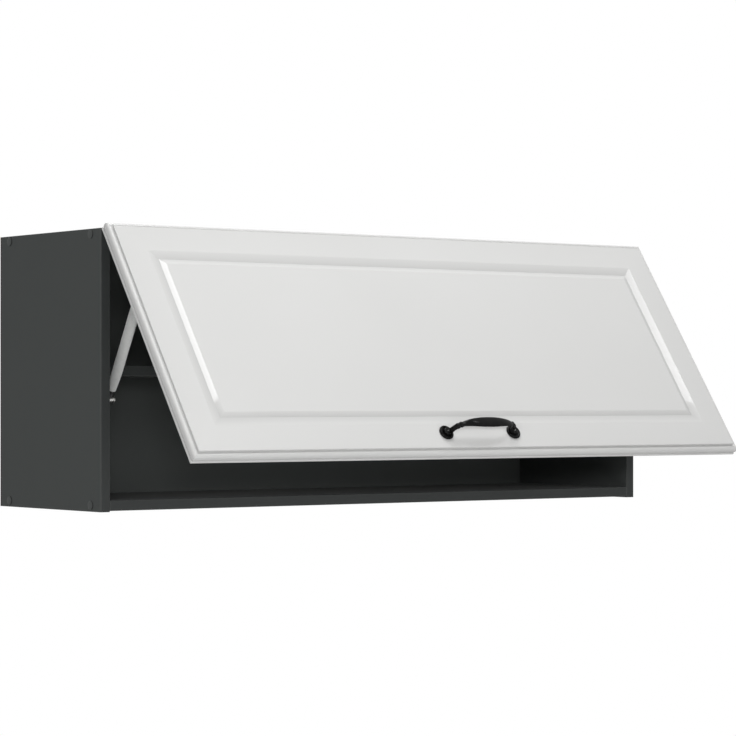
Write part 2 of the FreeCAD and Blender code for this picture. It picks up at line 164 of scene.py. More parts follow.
# Effect: zones of a board from its corners: near an arris, and inside the board, in a hole or groove
zones, given, result = effect("board_zones",
                              {"Vector": "Vector", "Low": "Vector", "High": "Vector", "Width": "Float"},
                              {"Arris": "Float", "Inside": "Float"})
from_low = vector_calc(zones, "SUBTRACT", given["Vector"], given["Low"])
from_high = vector_calc(zones, "SUBTRACT", given["High"], given["Vector"])
near = node(zones, "SeparateXYZ", Vector=vector_calc(zones, "MINIMUM", from_low, from_high)).outputs
least = calc(zones, "MINIMUM", near["X"], near["Y"])
most = calc(zones, "MAXIMUM", near["X"], near["Y"])
middle = calc(zones, "MAXIMUM", least, calc(zones, "MINIMUM", most, near["Z"]))
from_arris = calc(zones, "DIVIDE", middle, given["Width"])
zones.links.new(ramp(zones, from_arris, 0.0, 1.0, 1.0, 0.0), result["Arris"])
from_face = calc(zones, "MINIMUM", least, near["Z"])
zones.links.new(ramp(zones, from_face, cut_from, cut_full), result["Inside"])

# Effect: sawn chipboard, flat chips of mixed browns
chips, given, result = effect("sawn_chips", {"Vector": "Vector"}, {"Color": "Color", "Height": "Float"})
cell = node(chips, "TexVoronoi", Vector=given["Vector"], Scale=520.0, Randomness=1.0)
shade = node(chips, "SeparateColor", Color=cell.outputs["Color"]).outputs["Red"]
chips.links.new(blend(chips, shade, (0.30, 0.20, 0.11, 1), (0.56, 0.42, 0.26, 1)), result["Color"])
chips.links.new(cell.outputs["Distance"], result["Height"])


matt = 0.1
board_gloss = {"left_side_panel": matt, "right_side_panel": matt, "top_panel": matt,
               "bottom_panel": 0.25, "shelf": 0.5}
bottom_dust = 0.024


def board_finish(name, low, high, gloss=matt, dust=0.0):
    """Melamine board: pored grey on its faces, painted lighter along the arrises as a highlight, chips on
    sawn faces.
    """
    material, tree, shader, place = finish(name, Specular_IOR_Level=gloss, Sheen_Weight=dust)
    pore = node(tree, "Group", node_tree=pores, Vector=place, Pitch=1100.0).outputs
    zone = node(tree, "Group", node_tree=zones, Vector=place, Low=low, High=high, Width=0.0009).outputs
    sawn = node(tree, "Group", node_tree=chips, Vector=place).outputs
    depth = node(tree, "SeparateXYZ", Vector=place).outputs["Y"]
    rear = ramp(tree, depth, high[1] - cut_full, high[1] - cut_from)
    bare = calc(tree, "MAXIMUM", zone["Inside"], rear)
    face = mottled(tree, pore["Tone"], (0.0544, 0.0592, 0.0576, 1), (0.0632, 0.0680, 0.0667, 1))
    # Painted highlight: the faces are painted lighter towards each arris.
    face = blend(tree, calc(tree, "MULTIPLY", zone["Arris"], 0.5), face, (0.098, 0.103, 0.101, 1))
    feed(tree, shader.inputs["Base Color"], blend(tree, bare, face, sawn["Color"]))
    feed(tree, shader.inputs["Roughness"], varied(tree, pore["Tone"], 0.54, 0.66))
    height = calc(tree, "ADD", pore["Height"], calc(tree, "MULTIPLY", bare, sawn["Height"]))
    emboss(tree, shader, height, 0.12, 0.0002)
    return material


for board, gloss in board_gloss.items():
    low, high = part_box(board)
    dust = bottom_dust if board == "bottom_panel" else 0.0
    dress(board_finish(board + "_melamine", low, high, gloss, dust), board)


# Edge bands: 2 mm plastic strips glued on the boards' front edges, in the boards' colour.
# Their rounded arrises are buffed, so they shine a little more than the board, and are painted paler as a
# highlight.
def band_finish(name, low, high):
    """Plastic strip: plain grey with a faint drawn grain, painted paler as a highlight where the arris is
    round.
    """
    material, tree, shader, place = finish(name, Specular_IOR_Level=0.12)
    pore = node(tree, "Group", node_tree=pores, Vector=place, Pitch=700.0).outputs
    zone = node(tree, "Group", node_tree=zones, Vector=place, Low=low, High=high, Width=0.0016).outputs
    face = mottled(tree, pore["Tone"], (0.0333, 0.0356, 0.0351, 1), (0.0379, 0.0408, 0.0403, 1))
    # Painted highlight: the strip is painted paler towards the arris.
    face = blend(tree, calc(tree, "MULTIPLY", zone["Arris"], 0.45), face, (0.085, 0.089, 0.086, 1))
    feed(tree, shader.inputs["Base Color"], face)
    feed(tree, shader.inputs["Roughness"], ramp(tree, zone["Arris"], 0.0, 1.0, 0.45, 0.32))
    emboss(tree, shader, pore["Height"], 0.06, 0.0002)
    return material


for board in ("left_side", "right_side", "top", "bottom", "shelf"):
    band = board + "_edge_band"
    low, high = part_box(band)
    dress(band_finish(band + "_plastic", low, high), band)


# Back: 3 mm hardboard in a groove of the four boards, printed anthracite inside and bare behind.
# The bare side is brown pressed fibre.
material, tree, shader, place = finish("printed_hardboard", Roughness=0.6, Specular_IOR_Level=0.1)
low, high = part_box("back_panel")
pore = node(tree, "Group", node_tree=pores, Vector=place, Pitch=600.0).outputs
felt = node(tree, "TexNoise", Vector=place, Scale=260.0, Detail=6.0, Roughness=0.7, Distortion=1.2)
fibre = felt.outputs["Fac"]
printed = mottled(tree, pore["Tone"], (0.0825, 0.0897, 0.0869, 1), (0.0935, 0.1001, 0.0979, 1))
brown = mottled(tree, fibre, (0.17, 0.10, 0.052, 1), (0.27, 0.17, 0.09, 1))
depth = node(tree, "SeparateXYZ", Vector=place).outputs["Y"]
behind = ramp(tree, depth, low[1] + cut_from, low[1] + cut_full)
feed(tree, shader.inputs["Base Color"], blend(tree, behind, printed, brown))
emboss(tree, shader, fibre, 0.1, 0.0002)
dress(material, "back_panel")


# Hanging rail: a strip of the same board behind the back, dowelled between the sides.
# The wall screws go through it.
low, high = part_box("hanging_rail")
dress(board_finish("hanging_rail_melamine", low, high), "hanging_rail")


# Dowels: fluted beech, glued into the board ends.
# They can't be seen once the carcass is together.
material, tree, shader, place = finish("beech", Roughness=0.6)
drawn = vector_calc(tree, "MULTIPLY", place, (60.0, 900.0, 900.0))
grain = node(tree, "TexNoise", Vector=drawn, Scale=1.0, Detail=4.0).outputs["Fac"]
feed(tree, shader.inputs["Base Color"], mottled(tree, grain, (0.50, 0.34, 0.19, 1), (0.62, 0.46, 0.29, 1)))
dress(material, "dowels")


# Confirmat screws: zinc-plated, with a hexagon socket under each cap.
# The same plating is on the shelf pins, hinge leaves, screws and strut fittings.
cloud, given, result = effect("plating_cloud", {"Vector": "Vector"}, {"Tone": "Float", "Scratch": "Float"})
spangle = node(cloud, "TexNoise", Vector=given["Vector"], Scale=180.0, Detail=5.0, Roughness=0.65)
drawn = vector_calc(cloud, "MULTIPLY", given["Vector"], (120.0, 2600.0, 2600.0))
scratch = node(cloud, "TexNoise", Vector=drawn, Scale=1.0, Detail=2.0)
cloud.links.new(spangle.outputs["Fac"], result["Tone"])
cloud.links.new(scratch.outputs["Fac"], result["Scratch"])


def plated_finish(name, dull, bright, smooth, rough):
    """Plated steel: metal whose colour and gloss cloud between two values, with drawn scratches."""
    material, tree, shader, place = finish(name, Metallic=1.0)
    plate = node(tree, "Group", node_tree=cloud, Vector=place).outputs
    feed(tree, shader.inputs["Base Color"], mottled(tree, plate["Tone"], dull, bright))
    feed(tree, shader.inputs["Roughness"], varied(tree, plate["Scratch"], smooth, rough))
    emboss(tree, shader, plate["Scratch"], 0.08, 0.0001)
    return material


zinc = plated_finish("zinc_plating", (0.46, 0.46, 0.45, 1), (0.62, 0.62, 0.60, 1), 0.28, 0.42)
dress(zinc, "confirmat_screws")


# Screw caps: moulded plastic buttons pressed into the screws' sockets on the outside of the sides.
# Each is 13 mm across and slightly domed, and its rim wall where it meets the board is painted near black as
# shade.
def turned(profile, foot, along, steps=48):
    """Grid of a turned shape: pairs of radius and height, spun about the line from foot along a direction.
    A point is the foot, plus its height along the line, plus its radius on a circle square to the line."""
    radius, height = np.array(profile, float).T[:, :, None]
    along = np.array(along, float) / np.linalg.norm(along)
    first = np.cross(along, (0.31, 0.87, 0.38))
    first /= np.linalg.norm(first)
    second = np.cross(along, first)
    turn = np.linspace(0.0, 2.0 * np.pi, steps + 1)[None, :]
    ring = np.cos(turn)[..., None] * first + np.sin(turn)[..., None] * second
    return np.array(foot, float) + height[..., None] * along + radius[..., None] * ring


def surfaces(name, grids, crease=32.0):
    """One mesh object from grids of points: each cell is a quad, and edges that meet are welded.
    Normals are weighted by face area, so that flats and straight walls shade flat up to their rounds."""
    points = np.concatenate([grid.reshape(-1, 3) for grid in grids])
    quads = []
    start = 0
    for grid in grids:
        rows, columns = grid.shape[:2]
        place = start + np.arange(rows * columns).reshape(rows, columns)
        corners = [place[:-1, :-1], place[1:, :-1], place[1:, 1:], place[:-1, 1:]]
        quads.append(np.stack(corners, -1).reshape(-1, 4))
        start += rows * columns
    mesh = bpy.data.meshes.new(name)
    mesh.from_pydata(points.tolist(), [], np.concatenate(quads).tolist())
    weld = bmesh.new()
    weld.from_mesh(mesh)
    bmesh.ops.remove_doubles(weld, verts=weld.verts, dist=1e-6)
    bmesh.ops.recalc_face_normals(weld, faces=weld.faces)
    weld.to_mesh(mesh)
    weld.free()
    mesh.shade_smooth()
    mesh.set_sharp_from_angle(angle=math.radians(crease))
    made = bpy.data.objects.new(name, mesh)
    made.modifiers.new("weighted", "WEIGHTED_NORMAL").keep_sharp = True
    bpy.context.scene.collection.objects.link(made)
    return made


def mount(piece, material, body, slot, *replaced):
    """Give a new piece its material and its body, and hide the CAD nodes that it stands for; the slot is not
    used.
    """
    piece.data.materials.append(material)
    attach(piece, body)
    if replaced:
        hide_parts(*replaced)


cap_r = 0.0065
cap_thick = 0.0014
cap_dome = 0.0003
cap_crown_r = cap_r * 0.92
cap_stem_r = 0.002
cap_stem = 0.0029
cap_rows = (-0.259, -0.028)
cap_levels = (0.0425, -0.339)
crown = np.linspace(0.0, 1.0, 10)
cap_profile = [(cap_crown_r * share, cap_thick - cap_dome * share ** 2) for share in crown]
cap_profile += [(cap_r * 0.98, 0.0009), (cap_r, 0.0006), (cap_r, 0.0), (cap_stem_r, 0.0)]
cap_profile += [(cap_stem_r, -cap_stem), (0.0, -cap_stem)]
side_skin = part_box("right_side_panel")[1][0]
caps = [turned(cap_profile, (way * side_skin, y, z), (way, 0, 0))
        for way in (-1, 1) for y in cap_rows for z in cap_levels]
material, tree, shader, place = finish("cap_plastic", Roughness=0.42, Specular_IOR_Level=0.12)
pore = node(tree, "Group", node_tree=pores, Vector=place, Pitch=1600.0).outputs
plastic = mottled(tree, pore["Tone"], (0.0528, 0.0576, 0.0560, 1), (0.0624, 0.0672, 0.0656, 1))
sideways = calc(tree, "ABSOLUTE", node(tree, "SeparateXYZ", Vector=place).outputs["X"])
# Painted shadow: the rim wall next to the board is painted near black, standing in for its shade.
unshaded = ramp(tree, calc(tree, "SUBTRACT", sideways, side_skin), 0.0005, 0.0010)
feed(tree, shader.inputs["Base Color"], blend(tree, unshaded, (0.006, 0.006, 0.006, 1), plastic))
emboss(tree, shader, pore["Height"], 0.08, 0.0001)
mount(surfaces("cap_buttons", caps), material, "carcass", "cap_plastic", "screw_caps")


# Shelf pins: 5 mm plated steel pins, half in the side and half under the shelf.
# Their free ends are rounded off.
pin_r = 0.0025
pin_length = 0.016
pin_low, pin_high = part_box("shelf_pins")
pin_rows = (pin_low[1] + pin_r, pin_high[1] - pin_r)
pin_level = (pin_low[2] + pin_high[2]) / 2
pin_profile = [(0.0, 0.0), (pin_r, 0.0), (pin_r, pin_length - 0.0012)]
pin_profile += [(pin_r - 0.0003, pin_length - 0.0005), (pin_r - 0.0010, pin_length), (0.0, pin_length)]
pins = [turned(pin_profile, (way * pin_high[0], y, pin_level), (-way, 0, 0), 24)
        for way in (-1, 1) for y in pin_rows]
mount(surfaces("shelf_pin_set", pins), zinc, "carcass", "zinc", "shelf_pins")


# Hinges: flush flap hinges of plated steel, one leaf in the top's edge band and one in the door.
# Three knuckles turn on a headless pin, and countersunk cross-head screws hold the leaves.
hinge_steel = plated_finish("hinge_steel", (0.42, 0.42, 0.41, 1), (0.58, 0.58, 0.56, 1), 0.30, 0.46)
places = ("left", "middle", "right")
dress(hinge_steel, *["hinge_fixed_leaf_" + place for place in places])
dress(hinge_steel, *["hinge_moving_leaf_" + place for place in places])
dress(zinc, "hinge_pins")

swing = joints["door_swing"]
hinge_line = np.array(swing["pos_m"])
opening = -math.radians(swing["range_deg"][0])


def open_door(points, turn=opening):
    """Turn points built with the door shut about the hinge line into the rest pose."""
    y, z = points[..., 1] - hinge_line[1], points[..., 2] - hinge_line[2]
    return np.stack([points[..., 0], y * math.cos(turn) + z * math.sin(turn) + hinge_line[1],
                     z * math.cos(turn) - y * math.sin(turn) + hinge_line[2]], -1)


def cross_screw(foot, out, head_r, head, shank_r, shank, countersunk=False):
    """Grid of a wood screw: turned head, shank and tip, with a cross sunk into the head's middle.
    Inside the head's radius the height drops where either arm of the cross passes over the point."""
    rings = np.linspace(0.0, 0.92, 17)
    dome = 0.06 if countersunk else 0.45
    top = [(head_r * share, head * (1.0 - dome * share ** 2)) for share in rings]
    rim = [(head_r, 0.0)] if countersunk else [(head_r, head * 0.35), (head_r, 0.0)]
    body = [(shank_r, -head_r + shank_r if countersunk else 0.0), (shank_r, -shank * 0.8), (0.0, -shank)]
    grid = turned(top + rim + body, (0, 0, 0), (0, 0, 1), 48)
    inside = np.hypot(grid[..., 0], grid[..., 1]) < head_r * 0.95
    narrow = np.minimum(abs(grid[..., 0]), abs(grid[..., 1]))
    reach = np.hypot(grid[..., 0], grid[..., 1])
    arm = np.clip((head_r * 0.20 - narrow) / (head_r * 0.06), 0.0, 1.0)
    arm *= np.clip((head_r * 0.66 - reach) / (head_r * 0.12), 0.0, 1.0)
    grid[..., 2] -= np.where(inside, arm * head * 0.7, 0.0)
    out = np.array(out, float)
    first = np.cross(out, (1.0, 0.0, 0.0) if abs(out[0]) < 0.5 else (0.0, 0.0, 1.0))
    second = np.cross(out, first)
    return np.array(foot) + grid[..., :1] * first + grid[..., 1:2] * second + grid[..., 2:] * out


front = -0.287
top = 0.050
axis_level = hinge_line[2]
door_back = -0.2876
hinge_centres = (-0.38, 0.0, 0.38)
hinge_pitch = 0.017
hinge_head_r = 0.00275
hinge_head = 0.00005
hinge_shank_r = 0.0015
fixed_level = top - 0.0084
fixed_length = 0.016
moving_level = top - 0.0156
moving_length = 0.012
hinge_steps = [place + step * hinge_pitch for place in hinge_centres for step in (-1, 0, 1)]
fixed_screws = [cross_screw((x, front + hinge_head, fixed_level), (0, -1, 0),
                            hinge_head_r, hinge_head, hinge_shank_r, fixed_length, True) for x in hinge_steps]
moving_screws = [open_door(cross_screw((x, door_back - hinge_head, moving_level), (0, 1, 0),
                                       hinge_head_r, hinge_head, hinge_shank_r, moving_length, True))
                 for x in hinge_steps]
mount(surfaces("hinge_screws_fixed", fixed_screws), zinc, "carcass", "zinc", "hinge_fixed_screws")
mount(surfaces("hinge_screws_moving", moving_screws), zinc, "door", "zinc", "hinge_moving_screws")


# Strut feet: pressed plates with a post, screwed to the sides under the shelf.
# Each post carries the strut's eye, held by a round spring clip.
dress(zinc, "strut_foot_left", "strut_foot_right", "strut_clips")
foot_low, foot_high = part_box("strut_foot_right")
foot_y = (foot_low[1] + foot_high[1]) / 2
foot_z = (foot_low[2] + foot_high[2]) / 2
foot_skin = 0.483
foot_pitch = 0.0145
wood_screw = {"head_r": 0.0036, "head": 0.002, "shank_r": 0.00175, "shank": 0.012}
foot_screws = [cross_screw((way * foot_skin, foot_y, foot_z + end * foot_pitch), (-way, 0, 0), **wood_screw)
               for way in (-1, 1) for end in (-1, 1)]
mount(surfaces("foot_screws", foot_screws), zinc, "carcass", "zinc", "strut_foot_screws")


# Struts: a painted steel tube drawn in to a black neck and a pale eye at its foot, and a bright rod
# that ends in a black moulded joint on a steel stud. A bead is rolled into the tube near its top.
def strut_line(profile, hand, steps=48):
    """Grid of a shape turned about the strut: pairs of radius and distance from the foot pivot."""
    foot = joints[hand + "_tube_swing"]["pos_m"]
    return turned(profile, foot, joints[hand + "_rod_slide"]["axis"], steps)


def strut_cross(profile, hand, along):
    """Grid of a shape turned about a line through the strut, square to it, this far from the foot."""
    foot = np.array(joints[hand + "_tube_swing"]["pos_m"])
    pivot = foot + along * np.array(joints[hand + "_rod_slide"]["axis"])
    return turned(profile, pivot, (1, 0, 0))


tube_r = 0.0075
tube_taper = 0.028
tube_foot = 0.0146
tube_top = 0.151294
crimp = tube_top - 0.033
tube_profile = [(0.0, tube_foot), (0.0048, tube_foot), (0.0056, tube_foot + 0.0003)]
tube_profile += [(0.0059, tube_foot + 0.0010), (0.0074, tube_foot + tube_taper - 0.0030)]
tube_profile += [(tube_r, tube_foot + tube_taper), (tube_r, crimp - 0.0013), (0.0072, crimp - 0.0008)]
tube_profile += [(0.0070, crimp), (0.0072, crimp + 0.0008), (tube_r, crimp + 0.0013)]
tube_profile += [(tube_r, tube_top - 0.0010), (0.0070, tube_top - 0.0002)]
tube_profile += [(0.0060, tube_top), (0.0060, tube_top - 0.0040), (0.0, tube_top - 0.0040)]
neck_profile = [(0.0030, 0.0036), (0.0043, 0.0040), (0.0045, 0.0060), (0.0040, 0.0085), (0.0040, 0.0105)]
neck_profile += [(0.0045, 0.0125), (0.0045, tube_foot), (0.0, tube_foot)]
eye_profile = [(0.00305, -0.005), (0.0044, -0.005), (0.0048, -0.0046), (0.0048, 0.0046), (0.0044, 0.005)]
eye_profile += [(0.00305, 0.005), (0.00305, -0.005)]
guide_foot = tube_top - 0.0035
guide_profile = [(0.00305, guide_foot), (0.0059, guide_foot), (0.0059, tube_top), (0.0064, tube_top)]
guide_profile += [(0.0064, tube_top + 0.0008), (0.0058, tube_top + 0.0012), (0.0036, tube_top + 0.0012)]
guide_profile += [(0.00305, tube_top + 0.0009), (0.00305, guide_foot)]
stud_at = 0.195794
rod_r = 0.0030
rod_foot = tube_top - 0.052
stem_foot = stud_at - 0.014
rod_end = stem_foot + 0.003
rod_profile = [(0.0, rod_foot), (rod_r, rod_foot), (rod_r, rod_end), (0.0, rod_end)]
stem_profile = [(rod_r, rod_end), (rod_r, stem_foot), (0.0038, stem_foot), (0.0042, stem_foot + 0.0006)]
stem_profile += [(0.0042, stud_at - 0.004), (0.0, stud_at - 0.004)]
joint_profile = [(0.0030, -0.0045), (0.0054, -0.0045), (0.0060, -0.0038), (0.0060, 0.0038)]
joint_profile += [(0.0054, 0.0045), (0.0030, 0.0045), (0.0030, -0.0045)]

# Light grey stoving paint with a little flow in its gloss
paint, tree, shader, place = finish("tube_paint", Roughness=0.38, Specular_IOR_Level=0.45,
                                    Diffuse_Roughness=1.0, Sheen_Weight=0.3)
flow = node(tree, "TexNoise", Vector=place, Scale=240.0, Detail=3.0).outputs["Fac"]
feed(tree, shader.inputs["Base Color"], mottled(tree, flow, (0.55, 0.555, 0.545, 1), (0.60, 0.605, 0.595, 1)))
emboss(tree, shader, flow, 0.05, 0.0001)


def moulded_finish(name, dark, light, roughness):
    """Moulded plastic: two near tones and a fine spark-eroded grain."""
    material, tree, shader, place = finish(name, Roughness=roughness, Specular_IOR_Level=0.4)
    pore = node(tree, "Group", node_tree=pores, Vector=place, Pitch=2200.0).outputs
    feed(tree, shader.inputs["Base Color"], mottled(tree, pore["Tone"], dark, light))
    emboss(tree, shader, pore["Height"], 0.12, 0.0001)
    return material


black_plastic = moulded_finish("black_plastic", (0.014, 0.014, 0.014, 1), (0.022, 0.022, 0.022, 1), 0.45)
bright_rod = plated_finish("bright_rod", (0.62, 0.62, 0.61, 1), (0.70, 0.70, 0.69, 1), 0.12, 0.20)
eye_steel = plated_finish("eye_steel", (0.60, 0.60, 0.58, 1), (0.72, 0.72, 0.70, 1), 0.35, 0.5)
for hand in ("left", "right"):
    tube = surfaces("tube_" + hand, [strut_line(tube_profile, hand)])
    mount(tube, paint, hand + "_tube", "tube_paint", "strut_tube_" + hand)
    neck = surfaces("neck_" + hand, [strut_line(neck_profile, hand)])
    mount(neck, black_plastic, hand + "_tube", "black_plastic", "strut_neck_" + hand)
    eye = surfaces("eye_" + hand, [strut_cross(eye_profile, hand, 0.0)])
    mount(eye, eye_steel, hand + "_tube", "zinc", "strut_eye_" + hand)
    guide = surfaces("guide_" + hand, [strut_line(guide_profile, hand)])
    mount(guide, black_plastic, hand + "_tube", "black_plastic", "strut_guide_" + hand)
    rod = surfaces("rod_" + hand, [strut_line(rod_profile, hand)])
    mount(rod, bright_rod, hand + "_rod", "bright_rod", "strut_rod_" + hand)
    joint = surfaces("rod_end_" + hand, [strut_line(stem_profile, hand),
                                         strut_cross(joint_profile, hand, stud_at)])
    mount(joint, black_plastic, hand + "_rod", "black_plastic", "strut_rod_end_" + hand)
    dress(zinc, "strut_stud_" + hand, "strut_plate_" + hand)
    dress(black_plastic, "strut_piston_" + hand)
plate_thick = 0.002
plate_screw_x = 0.42045
plate_screw_levels = (axis_level - 0.0845, axis_level - 0.0625)
plate_screws = [open_door(cross_screw((way * plate_screw_x, door_back + plate_thick, level), (0, 1, 0),
                                      **wood_screw)) for way in (-1, 1) for level in plate_screw_levels]
mount(surfaces("plate_screws", plate_screws), zinc, "door", "zinc", "strut_plate_screws")


# Door: 18 mm fibreboard, routed and wrapped in a light grey semi-gloss foil.
# A lip, a bead and a step run round its edge, and one V-shaped groove is mitred round the face.
door_half = 0.4995
door_top = 0.0486
door_low = -0.3474
door_thick = 0.018
leaf_half = 0.02525
leaf_low = top - 0.026
leaf_deep = 0.001
knuckle_low = axis_level - 0.0025
knuckle_deep = 0.0021
sharp = 0.00002
groove_outer = 0.0495
groove_bed = 0.0635
groove_inner = 0.0720


def arc(centre, radius, start, end, steps):
    """Points on an arc of a profile, from a start angle to an end angle in degrees."""
    turn = np.radians(np.linspace(start, end, steps))
    return np.stack([centre[0] + radius * np.cos(turn), centre[1] + radius * np.sin(turn)], -1)


# Section of the edge and face: inset from the outline, height above the inner face
edge_section = np.concatenate([
    arc((0.0007, 0.0007), 0.0007, 270, 180, 5),
    arc((0.0007, 0.0032), 0.0007, 180, 90, 5),
    arc((0.0016, 0.0049), 0.0009, 270, 180, 5),
    [(0.0005, 0.0064), (0.0001, 0.0082)],
    arc((0.0042, 0.0114), 0.0042, 180, 50, 17),
    arc((0.0073, 0.0150), 0.0005, 230, 350, 6),
    arc((0.0090, 0.0169), 0.0011, 175, 90, 6),
    arc((groove_outer, 0.0160), 0.0020, 90, 79.9, 4),
    arc((groove_bed, 0.0163), 0.0008, 259.9, 286.4, 5),
    arc((groove_inner, 0.0160), 0.0020, 106.4, 90, 4)])


def door_lines(half, cuts):
    """Grid lines across a face from -half to half, doubled at each cut so that its wall is upright."""
    lines = [-half, half] + [cut + side * sharp for cut in cuts for side in (-0.5, 0.5)]
    return np.sort(np.array(lines + list(np.linspace(-half, half, 9)[1:-1])))


back_inset = edge_section[0, 0]
leaf_ends = [place + way * leaf_half for place in hinge_centres for way in (-1, 1)]
across = door_lines(door_half - back_inset, leaf_ends)
middle_level = (door_top + door_low) / 2
door_half_height = (door_top - door_low) / 2
upright = door_lines(door_half_height - back_inset, [leaf_low - middle_level, knuckle_low - middle_level])


def face_grid(inset, height):
    """Grid of one face: the lines drawn in to this inset, at a height above the inner face."""
    x, z = np.meshgrid(across * (door_half - inset) / across[-1],
                       upright * (door_half_height - inset) / upright[-1], indexing="ij")
    return np.stack([x, door_back - np.broadcast_to(height, x.shape), z + middle_level], -1)


def rim(grid):
    """Closed loop of the points round a grid's border."""
    return np.concatenate([grid[:-1, 0], grid[-1, :-1], grid[:0:-1, -1], grid[0, ::-1]])


over_leaf = np.min([abs(across - place) for place in hinge_centres], axis=0) < leaf_half
level = upright + middle_level
pocket = np.where(over_leaf[:, None] & (level > leaf_low), leaf_deep, 0.0)
pocket = np.where(over_leaf[:, None] & (level > knuckle_low), knuckle_deep, pocket)
inner_face = face_grid(back_inset, pocket)
rims = np.stack([rim(face_grid(inset, height)) for inset, height in edge_section])
rims[..., 1] = np.minimum(rims[..., 1], rim(inner_face)[None, :, 1])
outer_face = face_grid(*edge_section[-1])
door = surfaces("door_leaf", [open_door(inner_face), open_door(rims), open_door(outer_face)], 28.0)

# Painted shade at each point of the door, from its inset and height: beside the bead, in the groove
# and in the notch between the lip and the bead
points = np.empty(len(door.data.vertices) * 3)
door.data.vertices.foreach_get("co", points)
points = open_door(points.reshape(-1, 3), -opening)
inset = np.minimum(door_half - abs(points[:, 0]), door_half_height - abs(points[:, 2] - middle_level))
height = door_back - points[:, 1]
hollow_shade = np.interp(inset, (0.0020, 0.0045, 0.0070, 0.0078, 0.0092, groove_outer, groove_bed, groove_inner),
                   (0.0, 0.2, 0.5, 0.5, 0.0, 0.0, 0.5, 0.0))
notch = np.interp(height, (0.0034, 0.0046, 0.0056, 0.0080), (0.0, 0.6, 0.6, 0.0))
hollow_shade = np.where(height > 0.010, hollow_shade, np.where(inset < 0.003, notch, 0.0))
door.data.attributes.new("hollow_shade", "FLOAT", "POINT").data.foreach_set("value", hollow_shade)

material, tree, shader, place = finish("door_foil", Specular_IOR_Level=0.5)
peel = node(tree, "TexNoise", Vector=place, Scale=420.0, Detail=2.0).outputs["Fac"]
cast = node(tree, "TexNoise", Vector=place, Scale=3.0, Detail=3.0).outputs["Fac"]
sunk_shade = node(tree, "Attribute", attribute_name="hollow_shade").outputs["Fac"]
foil = mottled(tree, cast, (0.561, 0.561, 0.554, 1), (0.576, 0.576, 0.569, 1))
# Painted shade: the foil is darkened towards black in the hollows, standing in for their shade.
foil = blend(tree, calc(tree, "MULTIPLY", sunk_shade, 0.25), foil, (0.0, 0.0, 0.0, 1))
feed(tree, shader.inputs["Base Color"], foil)
feed(tree, shader.inputs["Roughness"], varied(tree, cast, 0.14, 0.16))
emboss(tree, shader, peel, 0.03, 0.0002)
mount(door, material, "door", "door_foil", "door_panel")


# Handle: a cast bow on two round rosettes, black lacquered, 124 mm between its screws.
# The strap rises beside each rosette's knob, turns through a pair of rings and widens into a leaf
# for the grip.
handle_half = 0.062
handle_level = door_low + 0.0332
face = door_back - door_thick
bow_half = 0.0563
bow_root = 0.0018
bow_rise = 0.0255
bow_square = 3.1
grip_end = 0.0445
flare_rise = 0.0060
ring_places = (0.0170, 0.0225)
ring_wide = 0.0014
ring_proud = 0.0013
lean = np.linspace(0.0, np.pi, 241)
along = -bow_half * np.sign(np.cos(lean)) * abs(np.cos(lean)) ** (2.0 / bow_square)
height = bow_root + bow_rise * np.sin(lean).clip(0.0) ** (2.0 / bow_square)
path = np.stack([np.gradient(along), np.gradient(height)], -1)
path = path / np.hypot(path[:, 0], path[:, 1])[:, None]
swell = np.clip(1.0 - (along / grip_end) ** 2, 0.0, None)
flare = np.exp(-((height - bow_root) / flare_rise) ** 2)
run = np.insert(np.cumsum(np.hypot(np.diff(along), np.diff(height))), 0, 0.0)
from_end = np.minimum(run, run[-1] - run)
bead = ring_proud * sum(np.exp(-((from_end - ring_at) / ring_wide) ** 2) for ring_at in ring_places)
half_wide = 0.0041 + 0.0044 * swell + 0.0010 * flare + 0.6 * bead
half_thin = 0.0016 + 0.0004 * swell + 0.0010 * flare + bead
centre = np.stack([along, face - height, np.full_like(along, handle_level)], -1)
outward = np.stack([-path[:, 1], -path[:, 0], np.zeros_like(along)], -1)
around = np.linspace(0.0, 2.0 * np.pi, 41)
bow = centre[:, None] + (half_thin[:, None] * np.sin(around))[..., None] * outward[:, None]
bow = bow + (half_wide[:, None] * np.cos(around))[..., None] * np.array((0.0, 0.0, 1.0))
ends = [np.stack([np.broadcast_to(centre[end], bow[end].shape), bow[end]]) for end in (0, -1)]
foot_profile = [(0.0, 0.0), (0.0112, 0.0), *arc((0.0097, 0.0012), 0.0020, 0, 150, 12)]
foot_profile += [(0.0074, 0.0016), (0.0066, 0.0018), (0.0061, 0.0026)]
foot_profile += [*arc((0.0041, 0.0044), 0.0018, 0, 90, 8), (0.0026, 0.0061), (0.0, 0.0054)]
feet = [turned(foot_profile, (way * handle_half, face, handle_level), (0, -1, 0)) for way in (-1, 1)]
handle = surfaces("handle_bow", [open_door(grid) for grid in [bow] + ends + feet], 40.0)
material, tree, shader, place = finish("black_lacquer", Specular_IOR_Level=0.09)
sand = node(tree, "TexNoise", Vector=place, Scale=1500.0, Detail=4.0).outputs["Fac"]
rub = node(tree, "TexNoise", Vector=place, Scale=130.0, Detail=4.0).outputs["Fac"]
feed(tree, shader.inputs["Base Color"], blend(tree, ramp(tree, rub, 0.35, 0.7),
                                              (0.002, 0.002, 0.002, 1), (0.005, 0.0049, 0.0047, 1)))
feed(tree, shader.inputs["Roughness"], varied(tree, rub, 0.07, 0.13))
emboss(tree, shader, sand, 0.04, 0.0002)
mount(handle, material, "door", "black_casting", "handle")
machine_screw = {"head_r": 0.004, "head": 0.0025, "shank_r": 0.002, "shank": 0.0245}
handle_screws = [open_door(cross_screw((way * handle_half, door_back, handle_level), (0, 1, 0),
                                       **machine_screw)) for way in (-1, 1)]
mount(surfaces("handle_screw_pair", handle_screws), zinc, "door", "zinc", "handle_screws")


